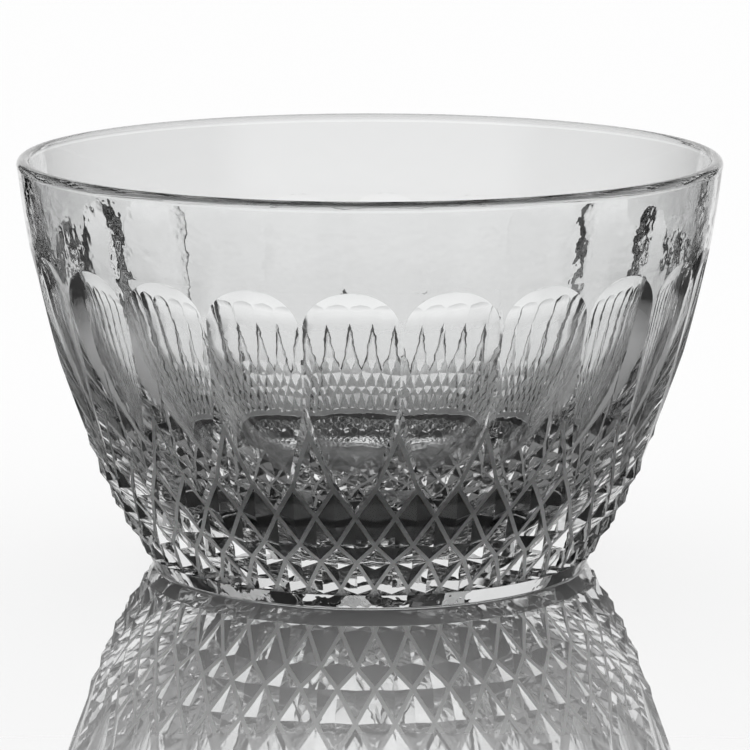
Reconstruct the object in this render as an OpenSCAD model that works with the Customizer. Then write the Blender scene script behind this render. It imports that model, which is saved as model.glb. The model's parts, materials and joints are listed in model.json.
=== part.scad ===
// Footed glass trifle bowl, pressed in one piece: a plain rim band, a ring of concave flutes
// that end in points, a band of raised diamonds below them and a short plain foot ring.
// Millimetres, +Z up, origin on the axis at the floor.

/* [Bowl] */
// Diameter over the rim
rim_diameter = 204; // [190:1:220]
// Height over all
bowl_height = 120; // [112:1:130]
// Wall thickness just below the rounded lip
rim_wall = 3.8; // [3.2:0.1:4.8]
// Height of the hip, where the side turns in towards the foot
hip_height = 30; // [28:0.5:32]
// Diameter over the hip
hip_diameter = 160.6; // [156:0.2:166]
// Radius of the long curve of the side above the hip
side_sweep = 337; // [300:1:420]
// Radius of the curve of the side below the hip
base_sweep = 125; // [110:1:150]

/* [Inside] */
// Thickness of the glass in the middle of the base
base_thickness = 8; // [7:0.5:10]
// Height at which the round inside meets the straight inside of the rim band
waist_height = 88; // [85:0.5:92]
// Wall thickness at that height
waist_wall = 4.4; // [4:0.1:5]

/* [Flutes] */
// Number of flutes around the bowl
flute_count = 22; // [18:1:26]
// Hollow radius across a flute
flute_radius = 57; // [50:0.5:64]
// Radius along a flute of its rounded, arched top, as a share of its hollow radius
arch_share = 0.49; // [0.45:0.01:0.49]
// Height of the springing of the arched tops, in the floor of a flute
flute_spring = 84.3; // [82:0.1:86]
// Depth of a flute below the side at its springing
flute_depth = 2.45; // [2.2:0.05:2.6]
// Depth of a flute below the side at its lower point
flute_tail_depth = 0.9; // [0.5:0.05:1]
// Radius of the long curve of a flute's floor
flute_sweep = 500; // [450:5:700]

/* [Diamonds] */
// Depth of the grooves between the diamonds
groove_depth = 2.2; // [1.6:0.1:2.6]
// How far the diamond points stay below the side's curve
point_sink = 0.3; // [0.2:0.05:0.5]
// Height of the groove crossings at the lower tips of the bottom row
tip_row = 5; // [4.8:0.1:5.6]
// Height of the first row of groove crossings above the tips
low_row = 13.9; // [13:0.1:15]
// Height of the second row of groove crossings
mid_row = 19.4; // [18.5:0.1:20.5]
// Height of the third row of groove crossings, which holds the flutes' points
high_row = 28.5; // [27.5:0.1:29.5]
// Height of the groove crossings beside the flutes' points
side_row = 37; // [36:0.1:38.5]
// Height of the groove crossings on the ridges between flutes
apex_row = 53.4; // [51:0.1:56]
// Slope of the groove wall that borders the flutes, in degrees
border_slope = 32; // [28:0.5:36]

/* [Foot] */
// Diameter over the foot ring at its top
foot_diameter = 131; // [130:0.2:132]
// Diameter over the foot ring at the floor, before its edge is rounded
foot_base_diameter = 127; // [122:0.5:129]
// Height of the foot ring
foot_height = 4.4; // [4:0.1:4.6]
// Radius of the foot ring's lower edge
foot_edge = 1; // [0.5:0.1:1.4]
// Diameter of the hollow in the underside
hollow_diameter = 112; // [100:1:116]
// Depth of the hollow in the underside
hollow_depth = 1.6; // [1:0.1:3]

/* [Hidden] */

// Overrun of every cut past the surface that it leaves
overrun = 3;
// Swell of the rounded lip past each face of the wall
lip_swell = 0.1;
// Step where the round inside meets the straight inside of the rim band
waist_ledge = 0.1;
// Length of a flute's cutter as a share of its floor
flute_run_share = 1.25;
// Gap between the cutters of neighbouring flutes
bay_gap = 0.2;
// Width of the ledge that the diamonds leave on top of the foot ring
foot_ledge = 0.3;
// Rise of the underside that joins the foot ring to the first diamonds
skirt_rise = 0.4;
// Reach of that underside past the foot ring
skirt_reach = 3;
round_steps = 120;
sweep_steps = 360;

rim_radius = rim_diameter / 2;
lip_radius = rim_wall / 2 + lip_swell;
lip_height = bowl_height - lip_radius;
hip_radius = hip_diameter / 2;
foot_radius = foot_diameter / 2;
foot_base_radius = foot_base_diameter / 2;
hollow_radius = hollow_diameter / 2;
outer_reach = rim_radius + 2 * overrun;
flute_pitch = 360 / flute_count;
column_pitch = flute_pitch / 4;
columns = 4 * flute_count;

// Centre of a circle through two points of a profile, on the axis side; upper comes first
function sweep_centre(upper, lower, radius) =
    let (run = upper - lower)
    let (half = norm(run) / 2)
    let (out = [run[1], -run[0]] / norm(run))
    (upper + lower) / 2 - out * sqrt(radius * radius - half * half);

// Distance from the axis to the right-hand side of a circle at height z
function arc_r(centre, radius, z) =
    centre[0] + sqrt(radius * radius - (z - centre[1]) * (z - centre[1]));

// Outer side: a long curve above the hip, and a tighter one below it that meets it smoothly
rim_point = [rim_radius - lip_swell, lip_height];
hip_point = [hip_radius, hip_height];
side_centre = sweep_centre(rim_point, hip_point, side_sweep);
hip_normal = (hip_point - side_centre) / side_sweep;
base_centre = hip_point - base_sweep * hip_normal;

function outer_centre(z) = z >= hip_height ? side_centre : base_centre;
function outer_sweep(z) = z >= hip_height ? side_sweep : base_sweep;
function outer_r(z) = arc_r(outer_centre(z), outer_sweep(z), z);
function outer_normal(z) = ([outer_r(z), z] - outer_centre(z)) / outer_sweep(z);

// Point of a profile that lies off the outer side by lift, measured square to it
function off_side(z, lift) = [outer_r(z), z] + lift * outer_normal(z);

// The same point turned to an angle about the axis, with the middle of a flute at angle 0
function skin(angle, z, lift) =
    let (p = off_side(z, lift))
    [p[0] * sin(angle), -p[0] * cos(angle), p[1]];

// Inside: straight behind the rim band, and round about a centre on the axis below it
inner_rim = [rim_radius - lip_swell - rim_wall, lip_height];
inner_waist = [outer_r(waist_height) - waist_wall, waist_height];
inner_top = inner_rim + overrun / (lip_height - waist_height) * (inner_rim - inner_waist);
round_waist = inner_waist - [waist_ledge, 0];
inner_centre_height = (round_waist * round_waist - base_thickness * base_thickness)
    / (2 * (waist_height - base_thickness));
inner_sweep = inner_centre_height - base_thickness;

// A flute's floor curves from the springing to its lower point, and runs on past it
arch_sweep = arch_share * flute_radius;
spring_point = off_side(flute_spring, -flute_depth);
tail_point = off_side(high_row, -flute_tail_depth);
flute_centre = sweep_centre(spring_point, tail_point, flute_sweep);
function floor_angle(p) = atan2(flute_centre[1] - p[1], p[0] - flute_centre[0]);
spring_angle = floor_angle(spring_point);
flute_turn = (floor_angle(tail_point) - spring_angle) * flute_run_share;
bar_end = flute_centre + (flute_sweep + flute_radius) * [cos(spring_angle), -sin(spring_angle)];

// Half of a band of the profile plane between two heights
module band(low, high, reach) {
    translate([0, low])
        square([reach, high - low]);
}

// Solid outline inside a circle, kept between two heights
module arc_band(centre, radius, low, high) {
    intersection() {
        translate(centre)
            circle(r = radius, $fn = sweep_steps);
        band(low, high, outer_reach);
    }
}

// Foot ring: a side that leans out, with a rounded lower edge
module foot_outline() {
    lean = atan2(foot_radius - foot_base_radius, foot_height);
    side = foot_radius * cos(lean) - foot_height * sin(lean);
    edge_r = (side - foot_edge + foot_edge * sin(lean)) / cos(lean);
    edge_meet = [edge_r, foot_edge] + foot_edge * [cos(lean), -sin(lean)];
    polygon([[0, 0], [edge_r, 0], edge_meet, [foot_radius, foot_height], [0, foot_height]]);
    translate([edge_r, foot_edge])
        circle(r = foot_edge, $fn = round_steps);
}

// Short underside that leans out from the foot ring to the side
module skirt_outline() {
    skirt_top = foot_height + skirt_rise;
    intersection() {
        polygon([
            [0, foot_height],
            [foot_radius, foot_height],
            [foot_radius + skirt_reach, skirt_top],
            [0, skirt_top]
        ]);
        arc_band(base_centre, base_sweep, foot_height, skirt_top);
    }
}

module outer_outline() {
    foot_outline();
    skirt_outline();
    arc_band(base_centre, base_sweep, foot_height + skirt_rise, hip_height);
    arc_band(side_centre, side_sweep, hip_height, lip_height);
}

module inner_outline() {
    polygon([[0, waist_height], inner_waist, inner_top, [0, inner_top[1]]]);
    arc_band([0, inner_centre_height], inner_sweep, 0, waist_height);
}

// Wall of the bowl as a turned shape, hollowed out and closed by the rounded lip
module turned_wall() {
    rotate_extrude($fn = round_steps) {
        difference() {
            outer_outline();
            inner_outline();
        }
        translate([rim_radius - lip_radius, lip_height])
            circle(r = lip_radius, $fn = round_steps);
    }
}

// Shallow domed hollow in the underside, inside the foot ring
module underside_hollow() {
    dome = (hollow_radius * hollow_radius + hollow_depth * hollow_depth) / (2 * hollow_depth);
    rotate_extrude($fn = round_steps)
        intersection() {
            translate([0, hollow_depth - dome])
                circle(r = dome, $fn = sweep_steps);
            band(-overrun, hollow_depth + overrun, outer_reach);
        }
}

// A round bar bent along the floor of one flute, with its end rounded off at the arched top
module flute_bar() {
    translate([0, -flute_centre[0], flute_centre[1]])
        rotate([0, 90, 0])
            rotate_extrude(start = spring_angle - 90, angle = flute_turn, $fn = sweep_steps)
                translate([flute_sweep + flute_radius, 0])
                    circle(r = flute_radius, $fn = round_steps);
    translate([0, -bar_end[0], bar_end[1]])
        rotate([spring_angle, 0, 0])
            rotate_extrude($fn = sweep_steps)
                translate([flute_radius - arch_sweep, 0])
                    circle(r = arch_sweep, $fn = round_steps);
}

// One flute's share of the ring around the axis, a little narrower than the pitch
module flute_bay() {
    half_pitch = flute_pitch / 2;
    apex = bay_gap / (2 * sin(half_pitch));
    half_width = outer_reach * tan(half_pitch);
    linear_extrude(bowl_height)
        polygon([
            [0, -apex],
            [half_width, -apex - outer_reach],
            [-half_width, -apex - outer_reach]
        ]);
}

module flute_cutter() {
    intersection() {
        flute_bar();
        flute_bay();
    }
}

module flutes() {
    for (i = [0 : flute_count - 1])
        rotate(i * flute_pitch)
            flute_cutter();
}

// How far a diamond's point lies above its side corners, so that its four walls slope alike
function point_rise(z, above, below) =
    let (half = outer_r(z) * sin(column_pitch))
    let (up = norm([half, above - z]))
    let (down = norm([half, z - below]))
    ((above - z) * down - (z - below) * up) / (up + down);

function point_height(z, above, below) = z + point_rise(z, above, below);

// Rings of the diamond surface: crossings lie at the groove depth and points near the side
function ring(first, crossing_z, point_z) = [
    for (i = [0 : columns - 1])
        i % 2 == first
            ? skin(i * column_pitch, crossing_z, -groove_depth)
            : skin(i * column_pitch, point_z, -point_sink)
];

function flat_ring(radius, z) = [
    for (i = [0 : columns - 1])
        [radius * sin(i * column_pitch), -radius * cos(i * column_pitch), z]
];

// The border wall rises from the last groove and leaves the side above it
border_lift = groove_depth + overrun;
border_reach = border_lift / tan(border_slope);
function groove_lean(low, high) = atan2(outer_r(low) * sin(column_pitch), high - low);
low_border_rise = border_reach / sin(groove_lean(high_row, side_row));
high_border_rise = border_reach / sin(groove_lean(side_row, apex_row));
function border_height(i) =
    i % 4 == 0 ? high_row + low_border_rise
    : i % 4 == 2 ? apex_row + high_border_rise
    : side_row + (low_border_rise + high_border_rise) / 2;

// Rings of points in the order of the list of points
ring_names = ["foot", "tip", "low", "mid", "high", "side", "apex", "border", "top", "bottom"];

function id(name, i) = search([name], ring_names)[0] * columns + (i + columns) % columns;

// Four walls of a diamond, from its point to the crossings around it
function diamond(row, i, above, below) =
    let (p = id(row, i))
    let (left = id(row, i - 1))
    let (right = id(row, i + 1))
    [
        [p, right, id(above, i)],
        [p, id(below, i), right],
        [p, left, id(below, i)],
        [p, id(above, i), left]
    ];

// Two triangles of the strip between two rings
function strip(low, high, i) = [
    [id(low, i), id(high, i + 1), id(high, i)],
    [id(low, i), id(low, i + 1), id(high, i + 1)]
];

// Groove crossing on the upper edge of the diamonds in one column
function edge_id(i) = i % 4 == 0 ? id("high", i) : i % 4 == 2 ? id("apex", i) : id("side", i);

function border(i) = [
    [edge_id(i), id("border", i + 1), id("border", i)],
    [edge_id(i), edge_id(i + 1), id("border", i + 1)]
];

// Everything outside the diamond surface, from the foot ring up to the border of the flutes
module diamond_relief() {
    border_ring = [
        for (i = [0 : columns - 1])
            skin(i * column_pitch, border_height(i), overrun)
    ];
    top_ring = [
        for (i = [0 : columns - 1])
            [outer_reach * sin(i * column_pitch), -outer_reach * cos(i * column_pitch), border_height(i)]
    ];
    points = concat(
        flat_ring(foot_radius - foot_ledge, foot_height),
        ring(1, tip_row, tip_row),
        ring(0, low_row, point_height(low_row, mid_row, tip_row)),
        ring(1, mid_row, point_height(mid_row, high_row, low_row)),
        ring(0, high_row, point_height(high_row, side_row, mid_row)),
        ring(1, side_row, point_height(side_row, apex_row, high_row)),
        ring(0, apex_row, apex_row),
        border_ring,
        top_ring,
        flat_ring(outer_reach, foot_height)
    );
    all = [for (i = [0 : columns - 1]) i];
    odd = [for (i = [1 : 2 : columns - 1]) i];
    even = [for (i = [0 : 2 : columns - 2]) i];
    ridge = [for (i = [2 : 4 : columns - 2]) i];
    faces = [
        for (i = all) each strip("foot", "tip", i),
        for (i = even) [id("tip", i), id("tip", i + 1), id("low", i)],
        for (i = even) [id("tip", i), id("low", i), id("tip", i - 1)],
        for (i = odd) each diamond("low", i, "mid", "tip"),
        for (i = even) each diamond("mid", i, "high", "low"),
        for (i = odd) each diamond("high", i, "side", "mid"),
        for (i = ridge) each diamond("side", i, "apex", "high"),
        for (i = all) each border(i),
        for (i = all) each strip("border", "top", i),
        for (i = all) each strip("top", "bottom", i),
        for (i = all) each strip("bottom", "foot", i)
    ];
    polyhedron(points = points, faces = faces, convexity = 10);
}

// Sub-parts
module bowl() {
    color([0.86, 0.89, 0.9, 0.5])
        difference() {
            turned_wall();
            underside_hollow();
            flutes();
            diamond_relief();
        }
}

bowl();
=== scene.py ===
"""Looks of a footed trifle bowl in clear pressed glass.

The glass is one piece: a bay of the pattern is laid out flat, a flute with its lands above a tile
of raised diamonds, then wrapped onto the bowl's side, repeated round it and joined to the turned
lip, inside, base and foot ring. The glass is worked out in millimetres and scaled to metres when
it is finished.
"""
import json
import math

import bmesh
import bpy
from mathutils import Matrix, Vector

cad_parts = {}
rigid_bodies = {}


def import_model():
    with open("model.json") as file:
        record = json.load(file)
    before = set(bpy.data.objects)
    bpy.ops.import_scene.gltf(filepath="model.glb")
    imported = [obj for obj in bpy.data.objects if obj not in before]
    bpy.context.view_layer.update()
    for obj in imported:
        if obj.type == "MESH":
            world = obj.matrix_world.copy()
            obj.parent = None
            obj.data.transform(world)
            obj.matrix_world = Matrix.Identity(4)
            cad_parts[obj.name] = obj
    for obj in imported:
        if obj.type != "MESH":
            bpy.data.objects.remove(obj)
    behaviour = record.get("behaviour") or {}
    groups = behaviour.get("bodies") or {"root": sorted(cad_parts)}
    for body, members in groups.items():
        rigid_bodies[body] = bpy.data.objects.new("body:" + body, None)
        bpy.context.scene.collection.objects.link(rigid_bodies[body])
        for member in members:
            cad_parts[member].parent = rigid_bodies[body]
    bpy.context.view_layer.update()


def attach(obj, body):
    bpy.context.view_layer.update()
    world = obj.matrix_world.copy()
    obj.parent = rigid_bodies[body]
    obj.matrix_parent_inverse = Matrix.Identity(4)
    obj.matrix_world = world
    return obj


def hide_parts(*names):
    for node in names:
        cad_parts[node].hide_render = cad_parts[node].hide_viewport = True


for default_object in list(bpy.data.objects):
    bpy.data.objects.remove(default_object)
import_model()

MM = 0.001

# Side of the bowl
RIM_RADIUS = 102.0
BOWL_HEIGHT = 120.0
RIM_WALL = 3.8
LIP_SWELL = 0.1
HIP_HEIGHT = 30.0
HIP_RADIUS = 80.3
SIDE_SWEEP = 337.0
BASE_SWEEP = 125.0

# Inside and underside
BASE_THICKNESS = 8.0
WAIST_HEIGHT = 88.0
WAIST_WALL = 4.4
HOLLOW_RADIUS = 56.0
HOLLOW_DEPTH = 1.6

# Flutes
FLUTE_COUNT = 22
FLUTE_RADIUS = 57.0
ARCH_SWEEP = 27.93
FLUTE_SPRING = 84.3
FLUTE_DEPTH = 2.45
FLUTE_TAIL_DEPTH = 0.9
FLUTE_SWEEP = 500.0

# Diamonds: heights of the rows of groove crossings, from below the foot ring's top to the ridges
ROWS = ("base", "tip", "low", "mid", "high", "side", "apex")
ROW_HEIGHT = dict(zip(ROWS, (-3.9, 5.0, 13.9, 19.4, 28.5, 37.0, 53.4)))
GROOVE_DEPTH = 2.2
GROOVE_HALF = 0.6
POINT_SINK = 0.3
BORDER_SLOPE = math.radians(32)
BORDER_OVERRUN = 3.0
PATTERN_RADIUS = 78.0

# Foot ring
FOOT_RADIUS = 65.5
FOOT_BASE_RADIUS = 63.5
FOOT_HEIGHT = 4.4
FOOT_EDGE = 1.0
FOOT_LEDGE = 0.3
SKIRT_RISE = 0.4

# Fineness of the mesh
FLUTE_COLUMNS = 20
LAND_COLUMNS = 4
ARCH_ROWS = 14
RIDGE_ROWS = 12
GROOVE_CUTS = 5
BORDER_COLUMNS = 2
LIP_STEPS = 20
BAND_STEPS = 7
WALL_STEPS = 14
INSIDE_STEPS = 48
DOME_STEPS = 5
EDGE_STEPS = 6
SOLVE_STEPS = 40
LIFT_STEPS = 12
WELD_GAP = 0.002
SLIVER = 0.0005
SOFT_EDGE = 0.22
SOFT_SEGMENTS = 2
CREASE_ANGLE = math.radians(14)

# Glass: tint, the mould's wave, and the haze of the fire polish and of the groove floors
GLASS_IOR = 1.52
GLASS_TINT = (0.95, 0.955, 0.955, 1)
GLASS_WAVE = 0.06
WAVE_SCALE = 170.0
WAVE_DETAIL = 2.0
GLASS_HAZE = 0.012
GROOVE_HAZE = 0.9
HAZE_SCALE = 60.0
HAZE_DETAIL = 3.0
HAZE_SPAN = (0.4, 0.75)
GLASS_BOUNCES = 32

# Board under the bowl: tone, mirror from above to a low angle, and edges of its painted shade in
# metres
BOARD_REACH = 6.0
BOARD_LEVEL = 0.85
BOARD_POLISH = 0.015
MIRROR_ANGLES = (0.5, 0.82)
MIRROR_SHARES = (0.05, 0.97)
MIRROR_BOUNCES = 16
SHADE_LEVEL = 0.4
SHADE_FRONT = (-0.13, -0.09)
SHADE_BACK = (0.1, 0.15)
SHADE_SIDE = (0.1, 0.14)

# Studio light: edges are parts of a direction of length 1, X to the right, Y to the back and Z up.
# A ray below DIRECT_DEPTH comes straight from the camera or after one reflection.
WHITE = (1, 1, 1, 1)
BACKDROP_SIDE = (0.36, 0.42)
BACKDROP_FADE = (0.0, 0.25)
BACKDROP_LEVEL = 0.8
DIRECT_DEPTH = 2.5
FRONT_EDGE = (-0.75, -0.45)
FRONT_LEVEL = 0.6
LIGHT_TOP = (0.4, 0.52)
ROOM_LEVEL = 0.01

# Camera, in metres, with its lens and sensor in millimetres
CAMERA_TURN = math.radians(2.95)
CAMERA_DISTANCE = 1.1559
CAMERA_HEIGHT = 0.2677
CAMERA_PITCH = math.radians(10.43)
CAMERA_LENS = 193.0
CAMERA_SENSOR = 36.0
CAMERA_SHIFT = 0.0069

# A bay is one flute wide and holds four columns of groove crossings
BAY = 2 * math.pi / FLUTE_COUNT
HALF_BAY = BAY / 2
COLUMN = BAY / 4
TURNED_STEPS = 2 * FLUTE_COUNT * LAND_COLUMNS


# Profile of the bowl, as points (radius, height)


def sweep_centre(upper, lower, radius):
    """Centre of a circle through two points of the profile, on the axis side."""
    run = upper - lower
    out = Vector((run.y, -run.x)).normalized()
    return (upper + lower) / 2 - out * math.sqrt(radius**2 - run.length_squared / 4)


def arc_radius(centre, sweep, height):
    return centre.x + math.sqrt(sweep**2 - (height - centre.y) ** 2)


LIP_RADIUS = RIM_WALL / 2 + LIP_SWELL
LIP_CENTRE = Vector((RIM_RADIUS - LIP_RADIUS, BOWL_HEIGHT - LIP_RADIUS))
HIP = Vector((HIP_RADIUS, HIP_HEIGHT))
SIDE_CENTRE = sweep_centre(Vector((RIM_RADIUS - LIP_SWELL, LIP_CENTRE.y)), HIP, SIDE_SWEEP)
BASE_CENTRE = HIP - BASE_SWEEP * (HIP - SIDE_CENTRE) / SIDE_SWEEP


def side_arc(height):
    return (SIDE_CENTRE, SIDE_SWEEP) if height >= HIP_HEIGHT else (BASE_CENTRE, BASE_SWEEP)


def side_radius(height):
    return arc_radius(*side_arc(height), height)


def off_side(height, lift):
    """Point of the profile that lies off the side by lift, square to it."""
    centre, sweep = side_arc(height)
    on_side = Vector((arc_radius(centre, sweep, height), height))
    return on_side + lift * (on_side - centre) / sweep


def turned(point, turn):
    """A point of the profile, turned about the axis from the middle of a flute."""
    return Vector((point.x * math.sin(turn), -point.x * math.cos(turn), point.y))


INNER_RIM = Vector((RIM_RADIUS - LIP_SWELL - RIM_WALL, LIP_CENTRE.y))
INNER_WAIST = Vector((side_radius(WAIST_HEIGHT) - WAIST_WALL, WAIST_HEIGHT))
INNER_CENTRE = Vector(
    (0, (INNER_WAIST.length_squared - BASE_THICKNESS**2) / (2 * (WAIST_HEIGHT - BASE_THICKNESS)))
)
INNER_SWEEP = INNER_CENTRE.y - BASE_THICKNESS


# Flutes: each is a round bar's cut, bent along the side and rounded off at the top

SPRING_POINT = off_side(FLUTE_SPRING, -FLUTE_DEPTH)
TAIL_POINT = off_side(ROW_HEIGHT["high"], -FLUTE_TAIL_DEPTH)
FLUTE_CENTRE = sweep_centre(SPRING_POINT, TAIL_POINT, FLUTE_SWEEP)
BAR_SWEEP = FLUTE_SWEEP + FLUTE_RADIUS
BAR_OUT = (SPRING_POINT - FLUTE_CENTRE).normalized()
BAR_UP = Vector((-BAR_OUT.y, BAR_OUT.x))
BAR_END = FLUTE_CENTRE + BAR_SWEEP * BAR_OUT


def solve(low, high, value):
    """Where value changes sign between low and high."""
    start = value(low) > 0
    for _ in range(SOLVE_STEPS):
        middle = (low + high) / 2
        if (value(middle) > 0) == start:
            low = middle
        else:
            high = middle
    return (low + high) / 2


def bar_gap(turn, height, lift):
    """Distance from the bar that cuts the flute; the cut takes what is below 0."""
    point = turned(off_side(height, lift), turn)
    profile = Vector((-point.y, point.z))
    past_end = (profile - BAR_END).dot(BAR_UP)
    if past_end < 0:
        off_axis = (profile - FLUTE_CENTRE).length - BAR_SWEEP
        return math.hypot(off_axis, point.x) - FLUTE_RADIUS
    off_axis = math.hypot((profile - BAR_END).dot(BAR_OUT), point.x)
    return math.hypot(off_axis - FLUTE_RADIUS + ARCH_SWEEP, past_end) - ARCH_SWEEP


def flute_lift(turn, height):
    """Lift of the flute's surface off the side; above 0 the side is whole."""
    lift = 0.0
    for _ in range(LIFT_STEPS):
        lift += bar_gap(turn, height, lift)
    return lift


ARCH_TOP = solve(FLUTE_SPRING, BOWL_HEIGHT - 2 * RIM_WALL, lambda z: bar_gap(0, z, 0))


def arch_turn(height):
    """Turn of the flute's edge from its middle, at a height."""
    if height >= ARCH_TOP:
        return 0.0
    return solve(0, HALF_BAY, lambda turn: bar_gap(turn, height, 0))


# Border of the flutes: a groove that zigzags from the flutes' points to the ridges, and its wall


def groove_lean(low, high):
    return math.atan2(
        side_radius(ROW_HEIGHT[low]) * math.sin(COLUMN), ROW_HEIGHT[high] - ROW_HEIGHT[low]
    )


def along_border(turn, at_point, beside, at_ridge):
    """A value that runs straight from a flute's point to the crossing, then to the ridge."""
    share = min(abs(turn) / COLUMN, 2)
    if share < 1:
        return at_point + (beside - at_point) * share
    return beside + (at_ridge - beside) * (share - 1)


BORDER_LIFT = GROOVE_DEPTH + BORDER_OVERRUN
BORDER_REACH = BORDER_LIFT / math.tan(BORDER_SLOPE)
LOW_LEAN, HIGH_LEAN = groove_lean("high", "side"), groove_lean("side", "apex")
LOW_RISE, HIGH_RISE = BORDER_REACH / math.sin(LOW_LEAN), BORDER_REACH / math.sin(HIGH_LEAN)
LOW_FLOOR, HIGH_FLOOR = GROOVE_HALF / math.sin(LOW_LEAN), GROOVE_HALF / math.sin(HIGH_LEAN)


def groove_height(turn):
    return along_border(turn, ROW_HEIGHT["high"], ROW_HEIGHT["side"], ROW_HEIGHT["apex"])


def border_lift(turn, height):
    rise = along_border(turn, LOW_RISE, (LOW_RISE + HIGH_RISE) / 2, HIGH_RISE)
    return (height - groove_height(turn)) / rise * BORDER_LIFT - GROOVE_DEPTH


def border_height(turn):
    """Height at which the border's wall comes out of the flute or the land above it."""
    low = groove_height(turn)
    return solve(
        low,
        low + HIGH_RISE,
        lambda z: border_lift(turn, z) - min(0, flute_lift(turn, z)),
    )


LAND_TURN = solve(COLUMN, HALF_BAY, lambda turn: flute_lift(turn, border_height(turn)))
GROOVE_TURNS = [COLUMN * i / (GROOVE_CUTS + 1) for i in range(2 * GROOVE_CUTS + 2, -1, -1)]
PAST_LAND = [turn for turn in GROOVE_TURNS if turn >= LAND_TURN]
SHORT_OF_LAND = GROOVE_TURNS[len(PAST_LAND) :]
LAND_FEET = PAST_LAND if len(PAST_LAND) > 1 else PAST_LAND * 2
BORDER_FEET = LAND_FEET + SHORT_OF_LAND
BORDER_TURNS = LAND_FEET[:-1] + [LAND_TURN] + SHORT_OF_LAND
BORDER_ROWS = [(border_height(turn), turn) for turn in BORDER_TURNS]
ARCH_HEIGHTS = [
    FLUTE_SPRING + (ARCH_TOP - FLUTE_SPRING) * math.cos(math.pi / 2 * i / ARCH_ROWS)
    for i in range(ARCH_ROWS)
]
RIDGE_HEIGHTS = [
    FLUTE_SPRING + (BORDER_ROWS[0][0] - FLUTE_SPRING) * i / RIDGE_ROWS for i in range(RIDGE_ROWS)
]
OPEN_ROWS = [(height, HALF_BAY) for height in ARCH_HEIGHTS + RIDGE_HEIGHTS]
FLUTE_ROWS = OPEN_ROWS + BORDER_ROWS
LAND_ROWS = OPEN_ROWS + BORDER_ROWS[: len(LAND_FEET)]


# The bay's patches, laid out flat: x along the side, y up it and z off it


def flat(turn, height, lift):
    return Vector((turn * PATTERN_RADIUS, height, lift))


def lay_grid(bm, columns, rows, place):
    """A grid whose points are put where place says, from their share across and their row."""
    made = bmesh.ops.create_grid(bm, x_segments=columns, y_segments=rows, size=0.5)
    for vert in made["verts"]:
        across, row = vert.co.x + 0.5, round((0.5 - vert.co.y) * rows)
        vert.co = place(across, row)


def lay_flute(bm):
    def place(across, row):
        height, border = FLUTE_ROWS[row]
        turn = (2 * across - 1) * min(arch_turn(height), border)
        return flat(turn, height, flute_lift(turn, height))

    lay_grid(bm, FLUTE_COLUMNS, len(FLUTE_ROWS) - 1, place)


def lay_land(bm, hand):
    """Land between the flute's edge and the next ridge, on one hand of the flute."""

    def place(across, row):
        height, border = LAND_ROWS[row]
        edge = min(arch_turn(height), border)
        return flat(hand * (edge + (border - edge) * across), height, 0)

    lay_grid(bm, LAND_COLUMNS, len(LAND_ROWS) - 1, place)


def lay_border(bm, hand):
    """Half of the groove's floor, and the wall from it up to the flute or the land."""

    def place(across, row):
        height, turn = BORDER_ROWS[row]
        foot_turn = BORDER_FEET[row]
        foot = groove_height(foot_turn)
        floor = along_border(foot_turn, LOW_FLOOR, (LOW_FLOOR + HIGH_FLOOR) / 2, HIGH_FLOOR)
        column = round(across * BORDER_COLUMNS)
        if column == BORDER_COLUMNS:
            return flat(hand * turn, height, min(0, flute_lift(turn, height)))
        return flat(hand * foot_turn, foot + floor * column, -GROOVE_DEPTH)

    lay_grid(bm, BORDER_COLUMNS, len(BORDER_ROWS) - 1, place)


def point_height(row):
    """Height of the points of a row of diamonds, where their four walls slope alike."""
    name = ROWS[row]
    half = side_radius(ROW_HEIGHT[name]) * math.sin(COLUMN)
    above = ROW_HEIGHT[ROWS[row + 1]] - ROW_HEIGHT[name]
    below = ROW_HEIGHT[name] - ROW_HEIGHT[ROWS[row - 1]]
    up, down = math.hypot(half, above), math.hypot(half, below)
    return ROW_HEIGHT[name] + (above * down - below * up) / (up + down)


DIAMOND_COLUMNS = {"tip": (0, 2), "low": (-1, 1), "mid": (0, 2), "high": (-1, 1), "side": (2,)}


def lay_diamonds(bm):
    """A tile of diamonds: groove crossings, cells between them and a point raised in each."""
    crossings = {}

    def crossing(row, column):
        if (row, column) not in crossings:
            place = flat(column * COLUMN, ROW_HEIGHT[ROWS[row]], -GROOVE_DEPTH)
            crossings[row, column] = bm.verts.new(place)
        return crossings[row, column]

    cells = {}
    for name, columns in DIAMOND_COLUMNS.items():
        row = ROWS.index(name)
        for column in columns:
            corners = [
                crossing(row, column - 1),
                crossing(row - 1, column),
                crossing(row, column + 1),
                crossing(row + 1, column),
            ]
            peak = flat(column * COLUMN, point_height(row), -POINT_SINK)
            cells[bm.faces.new(corners)] = peak
    high, side, apex = (ROWS.index(name) for name in ("high", "side", "apex"))
    border = [(side, -1), (high, 0), (side, 1), (apex, 2), (side, 3)]
    border_verts = {crossings[key] for key in border}
    for edge in [e for e in bm.edges if all(vert in border_verts for vert in e.verts)]:
        vert = edge.verts[0]
        for parts in range(GROOVE_CUTS + 1, 1, -1):
            vert = bmesh.utils.edge_split(edge, vert, 1 / parts)[1]
    bm.normal_update()
    bmesh.ops.inset_individual(bm, faces=list(cells), thickness=GROOVE_HALF, use_even_offset=True)
    for cell, peak in cells.items():
        made = bmesh.ops.poke(bm, faces=[cell], center_mode="MEAN")
        made["verts"][0].co = peak


def mark_grooves(bm, groove):
    """Marks the floors of the grooves, where the fire polish hardly reaches."""
    for face in bm.faces:
        if all(abs(vert.co.z + GROOVE_DEPTH) < WELD_GAP for vert in face.verts):
            face[groove] = 1.0


def wrap(bm):
    """Wraps the flat bay onto the bowl's side."""
    for vert in bm.verts:
        turn, height, lift = vert.co.x / PATTERN_RADIUS, vert.co.y, vert.co.z
        vert.co = turned(off_side(height, lift), turn)


# Turned faces


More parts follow.
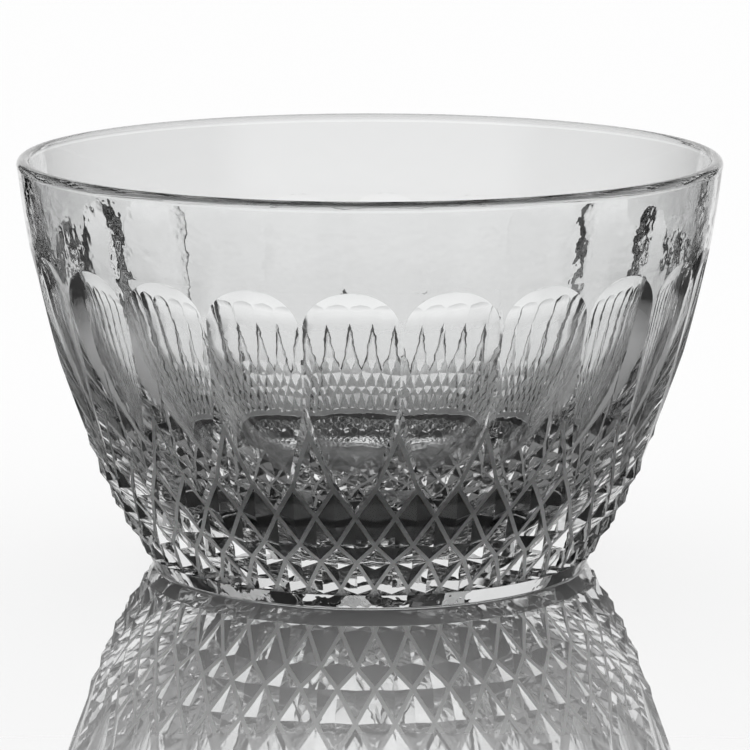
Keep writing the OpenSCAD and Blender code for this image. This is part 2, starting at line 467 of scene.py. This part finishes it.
def arc_points(centre, sweep, start, stop, steps):
    """Points of a circle from one angle to another, without the last one."""
    return [
        centre + sweep * Vector((math.cos(angle), math.sin(angle)))
        for angle in (start + (stop - start) * i / steps for i in range(steps))
    ]


def angle_of(centre, point):
    return math.atan2(point.y - centre.y, point.x - centre.x)


def lip_point(angle):
    return LIP_CENTRE + LIP_RADIUS * Vector((math.cos(angle), math.sin(angle)))


def upper_profile():
    """From the arch tops up over the lip, down the inside and across the floor to the axis."""
    outside = solve(
        -math.pi / 2, 0, lambda angle: (lip_point(angle) - SIDE_CENTRE).length - SIDE_SWEEP
    )
    wall = (INNER_WAIST - INNER_RIM).normalized()
    inside = solve(
        math.pi / 2, math.pi * 3 / 2, lambda angle: wall.cross(lip_point(angle) - INNER_RIM)
    )
    arch = Vector((side_radius(ARCH_TOP), ARCH_TOP))
    band = arc_points(
        SIDE_CENTRE,
        SIDE_SWEEP,
        angle_of(SIDE_CENTRE, arch),
        angle_of(SIDE_CENTRE, lip_point(outside)),
        BAND_STEPS,
    )
    lip = arc_points(LIP_CENTRE, LIP_RADIUS, outside, inside, LIP_STEPS)
    inner_lip = lip_point(inside)
    inner_band = [inner_lip.lerp(INNER_WAIST, i / WALL_STEPS) for i in range(WALL_STEPS)]
    round_inside = arc_points(
        INNER_CENTRE,
        INNER_SWEEP,
        angle_of(INNER_CENTRE, INNER_WAIST),
        -math.pi / 2,
        INSIDE_STEPS,
    )
    return band + lip + inner_band + round_inside + [Vector((0, BASE_THICKNESS))]


def lower_profile():
    """From the axis under the domed base, over the contact ring and up the foot ring."""
    dome = (HOLLOW_RADIUS**2 + HOLLOW_DEPTH**2) / (2 * HOLLOW_DEPTH)
    dome_centre = Vector((0, HOLLOW_DEPTH - dome))
    rim = Vector((HOLLOW_RADIUS, 0))
    hollow = arc_points(dome_centre, dome, math.pi / 2, angle_of(dome_centre, rim), DOME_STEPS)
    lean = math.atan2(FOOT_RADIUS - FOOT_BASE_RADIUS, FOOT_HEIGHT)
    side = FOOT_RADIUS * math.cos(lean) - FOOT_HEIGHT * math.sin(lean)
    edge_radius = (side - FOOT_EDGE + FOOT_EDGE * math.sin(lean)) / math.cos(lean)
    edge_centre = Vector((edge_radius, FOOT_EDGE))
    edge = arc_points(edge_centre, FOOT_EDGE, -math.pi / 2, -lean, EDGE_STEPS)
    top = [
        edge_centre + FOOT_EDGE * Vector((math.cos(lean), -math.sin(lean))),
        Vector((FOOT_RADIUS, FOOT_HEIGHT)),
        Vector((FOOT_RADIUS - FOOT_LEDGE, FOOT_HEIGHT)),
    ]
    return hollow + [rim] + edge + top


def turn_profile(bm, points):
    """Turns a profile right round the axis."""
    verts = [bm.verts.new(turned(point, 0)) for point in points]
    edges = [bm.edges.new(pair) for pair in zip(verts, verts[1:])]
    bmesh.ops.spin(
        bm,
        geom=verts + edges,
        cent=(0, 0, 0),
        axis=(0, 0, 1),
        angle=2 * math.pi,
        steps=TURNED_STEPS,
        use_merge=True,
    )


def weld(bm):
    """Joins points that meet, and takes out faces with no width."""
    bmesh.ops.remove_doubles(bm, verts=bm.verts, dist=WELD_GAP)
    bmesh.ops.dissolve_degenerate(bm, edges=bm.edges, dist=SLIVER)


def build_bowl():
    """One bay repeated round the bowl, the turned faces added and the foot ring joined on."""
    bm = bmesh.new()
    groove = bm.faces.layers.float.new("groove")
    lay_flute(bm)
    for hand in (-1, 1):
        lay_land(bm, hand)
        lay_border(bm, hand)
    lay_diamonds(bm)
    mark_grooves(bm, groove)
    wrap(bm)
    weld(bm)
    bmesh.ops.spin(
        bm,
        geom=bm.verts[:] + bm.edges[:] + bm.faces[:],
        cent=(0, 0, 0),
        axis=(0, 0, 1),
        angle=BAY * (FLUTE_COUNT - 1),
        steps=FLUTE_COUNT - 1,
        use_duplicate=True,
    )
    weld(bm)
    bmesh.ops.bisect_plane(
        bm,
        geom=bm.verts[:] + bm.edges[:] + bm.faces[:],
        plane_co=(0, 0, FOOT_HEIGHT + SKIRT_RISE),
        plane_no=(0, 0, 1),
        clear_inner=True,
    )
    turn_profile(bm, upper_profile())
    turn_profile(bm, lower_profile())
    weld(bm)
    bmesh.ops.bridge_loops(bm, edges=[edge for edge in bm.edges if edge.is_boundary])
    bmesh.ops.recalc_face_normals(bm, faces=bm.faces)
    bmesh.ops.scale(bm, vec=(MM, MM, MM), verts=bm.verts)
    for face in bm.faces:
        face.smooth = True
    mesh = bpy.data.meshes.new("trifle_bowl")
    bm.to_mesh(mesh)
    bm.free()
    bowl = bpy.data.objects.new("trifle_bowl", mesh)
    bpy.context.scene.collection.objects.link(bowl)
    soft = bowl.modifiers.new("fire_polished_edges", "BEVEL")
    soft.width = SOFT_EDGE * MM
    soft.segments = SOFT_SEGMENTS
    soft.profile = 0.5
    soft.limit_method = "ANGLE"
    soft.angle_limit = CREASE_ANGLE
    soft.harden_normals = True
    return bowl


# Materials


def connect(tree, node, name, value):
    """Sets an input of a node, or links it where the value is another node's output."""
    if isinstance(value, bpy.types.NodeSocket):
        tree.links.new(value, node.inputs[name])
    else:
        node.inputs[name].default_value = value


def add_node(tree, kind, **values):
    """A node with its named inputs set or linked."""
    node = tree.nodes.new(kind)
    for name, value in values.items():
        connect(tree, node, name.replace("_", " "), value)
    return node


def ramp(tree, value, span, levels, shape="SMOOTHSTEP"):
    """Goes from the first level to the second as the value crosses the span."""
    node = add_node(
        tree,
        "ShaderNodeMapRange",
        Value=value,
        From_Min=span[0],
        From_Max=span[1],
        To_Min=levels[0],
        To_Max=levels[1],
    )
    node.interpolation_type = shape
    return node.outputs["Result"]


def combine(tree, operation, first, second):
    """Works out one value from two, each a number or another node's output."""
    node = tree.nodes.new("ShaderNodeMath")
    node.operation = operation
    connect(tree, node, 0, first)
    connect(tree, node, 1, second)
    return node.outputs["Value"]


def pressed_surface():
    """Node group: how a pressed face waves and how its fire polish varies."""
    group = bpy.data.node_groups.new("pressed_surface", "ShaderNodeTree")
    for name in ("Wave", "Polish", "Groove"):
        group.interface.new_socket(name=name, in_out="INPUT", socket_type="NodeSocketFloat")
    for name, kind in (("Roughness", "NodeSocketFloat"), ("Normal", "NodeSocketVector")):
        group.interface.new_socket(name=name, in_out="OUTPUT", socket_type=kind)
    entry = group.nodes.new("NodeGroupInput")
    leave = group.nodes.new("NodeGroupOutput")
    coords = group.nodes.new("ShaderNodeTexCoord").outputs["Object"]
    wave = add_node(
        group, "ShaderNodeTexNoise", Vector=coords, Scale=WAVE_SCALE, Detail=WAVE_DETAIL
    )
    bump = add_node(
        group,
        "ShaderNodeBump",
        Strength=1.0,
        Distance=entry.outputs["Wave"],
        Height=wave.outputs["Fac"],
    )
    haze = add_node(
        group, "ShaderNodeTexNoise", Vector=coords, Scale=HAZE_SCALE, Detail=HAZE_DETAIL
    )
    polish_levels = (0.0, entry.outputs["Polish"])
    polish = ramp(group, haze.outputs["Fac"], HAZE_SPAN, polish_levels, "LINEAR")
    worn = group.nodes.new("ShaderNodeAttribute")
    worn.attribute_name = "groove"
    worn_levels = (polish, entry.outputs["Groove"])
    rough = ramp(group, worn.outputs["Fac"], (0.0, 1.0), worn_levels, "LINEAR")
    connect(group, leave, "Roughness", rough)
    connect(group, leave, "Normal", bump.outputs["Normal"])
    return group


def clear_glass():
    """Clear glass with a faint tint, waved by the mould and dull in the grooves."""
    material = bpy.data.materials.new("clear_pressed_glass")
    material.use_nodes = True
    tree = material.node_tree
    shader = tree.nodes["Principled BSDF"]
    surface = tree.nodes.new("ShaderNodeGroup")
    surface.node_tree = pressed_surface()
    connect(tree, surface, "Wave", GLASS_WAVE * MM)
    connect(tree, surface, "Polish", GLASS_HAZE)
    connect(tree, surface, "Groove", GROOVE_HAZE)
    connect(tree, shader, "Base Color", GLASS_TINT)
    connect(tree, shader, "Roughness", surface.outputs["Roughness"])
    connect(tree, shader, "Normal", surface.outputs["Normal"])
    connect(tree, shader, "IOR", GLASS_IOR)
    connect(tree, shader, "Transmission Weight", 1.0)
    return material


bowl = build_bowl()
bowl.data.materials.append(clear_glass())
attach(bowl, "root")
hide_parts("bowl")


# Stage


def floor_material():
    """Pale polished board: a mirror at a low angle, matt from above.

    The camera sees it evenly pale. Rays that come by way of the glass or the board itself find
    painted shade on it: darker under the bowl, as a painted shadow, and beside it.
    """
    material = bpy.data.materials.new("studio_floor")
    material.use_nodes = True
    tree = material.node_tree
    coords = tree.nodes.new("ShaderNodeTexCoord").outputs["Object"]
    way = add_node(tree, "ShaderNodeSeparateXYZ", Vector=coords)
    # Painted shade: rays that are not from the camera find the board darker under the bowl and
    # beside it
    aside = combine(tree, "ABSOLUTE", way.outputs["X"], 0.0)
    front = ramp(tree, way.outputs["Y"], SHADE_FRONT, (1.0, 0.0))
    back = ramp(tree, way.outputs["Y"], SHADE_BACK, (0.0, 1.0))
    middle = ramp(tree, aside, SHADE_SIDE, (1.0, 0.0))
    painted_light = combine(tree, "MAXIMUM", front, combine(tree, "MULTIPLY", back, middle))
    seen = tree.nodes.new("ShaderNodeLightPath").outputs["Is Camera Ray"]
    painted_light = combine(tree, "MAXIMUM", painted_light, seen)
    painted_shade = ramp(tree, painted_light, (0.0, 1.0), (SHADE_LEVEL, BOARD_LEVEL))
    matt = add_node(tree, "ShaderNodeBsdfDiffuse", Color=painted_shade)
    gloss = add_node(tree, "ShaderNodeBsdfGlossy", Color=WHITE, Roughness=BOARD_POLISH)
    angle = tree.nodes.new("ShaderNodeLayerWeight").outputs["Facing"]
    mix = tree.nodes.new("ShaderNodeMixShader")
    connect(tree, mix, "Fac", ramp(tree, angle, MIRROR_ANGLES, MIRROR_SHARES, "LINEAR"))
    connect(tree, mix, 1, matt.outputs["BSDF"])
    connect(tree, mix, 2, gloss.outputs["BSDF"])
    connect(tree, tree.nodes["Material Output"], "Surface", mix.outputs["Shader"])
    return material


def build_floor():
    bm = bmesh.new()
    bmesh.ops.create_grid(bm, x_segments=1, y_segments=1, size=BOARD_REACH)
    mesh = bpy.data.meshes.new("floor")
    bm.to_mesh(mesh)
    bm.free()
    floor = bpy.data.objects.new("floor", mesh)
    bpy.context.scene.collection.objects.link(floor)
    floor.data.materials.append(floor_material())
    return floor


build_floor()


def studio_world():
    """White backdrop behind the bowl and a soft light in front of it, in a dim room.

    The camera and the board's matt finish see white all round. Seen through the glass, the
    backdrop greys a little upwards.
    """
    world = bpy.data.worlds.new("studio")
    world.use_nodes = True
    tree = world.node_tree
    coords = tree.nodes.new("ShaderNodeTexCoord").outputs["Generated"]
    way = add_node(tree, "ShaderNodeSeparateXYZ", Vector=coords)
    path = tree.nodes.new("ShaderNodeLightPath").outputs

    aside = combine(tree, "ABSOLUTE", way.outputs["X"], 0.0)
    panel = ramp(tree, aside, BACKDROP_SIDE, (1.0, 0.0))
    fade = ramp(tree, way.outputs["Z"], BACKDROP_FADE, (1.0, BACKDROP_LEVEL))
    direct = combine(tree, "LESS_THAN", path["Ray Depth"], DIRECT_DEPTH)
    panel = combine(tree, "MULTIPLY", panel, combine(tree, "MAXIMUM", fade, direct))
    behind = combine(tree, "GREATER_THAN", way.outputs["Y"], 0.0)
    backdrop = combine(tree, "MULTIPLY", panel, behind)
    front = ramp(tree, way.outputs["Y"], FRONT_EDGE, (FRONT_LEVEL, 0.0))
    below = ramp(tree, way.outputs["Z"], LIGHT_TOP, (1.0, ROOM_LEVEL))
    lights = combine(tree, "MULTIPLY", combine(tree, "MAXIMUM", backdrop, front), below)
    seen = combine(tree, "MAXIMUM", path["Is Camera Ray"], path["Is Diffuse Ray"])
    level = combine(tree, "MAXIMUM", combine(tree, "MAXIMUM", lights, ROOM_LEVEL), seen)
    background = tree.nodes["Background"]
    connect(tree, background, "Color", WHITE)
    connect(tree, background, "Strength", level)
    return world


def photo_camera():
    """Camera at the photograph's viewing angle."""
    lens = bpy.data.cameras.new("camera")
    lens.lens = CAMERA_LENS
    lens.sensor_width = CAMERA_SENSOR
    lens.shift_x = CAMERA_SHIFT
    camera = bpy.data.objects.new("camera", lens)
    camera.location = (
        CAMERA_DISTANCE * math.sin(CAMERA_TURN),
        -CAMERA_DISTANCE * math.cos(CAMERA_TURN),
        CAMERA_HEIGHT,
    )
    camera.rotation_euler = (math.pi / 2 - CAMERA_PITCH, 0, CAMERA_TURN)
    bpy.context.scene.collection.objects.link(camera)
    return camera


bpy.context.scene.world = studio_world()
bpy.context.scene.camera = photo_camera()
bpy.context.scene.view_settings.view_transform = "Standard"
bpy.context.scene.cycles.max_bounces = GLASS_BOUNCES
bpy.context.scene.cycles.transmission_bounces = GLASS_BOUNCES
bpy.context.scene.cycles.glossy_bounces = MIRROR_BOUNCES
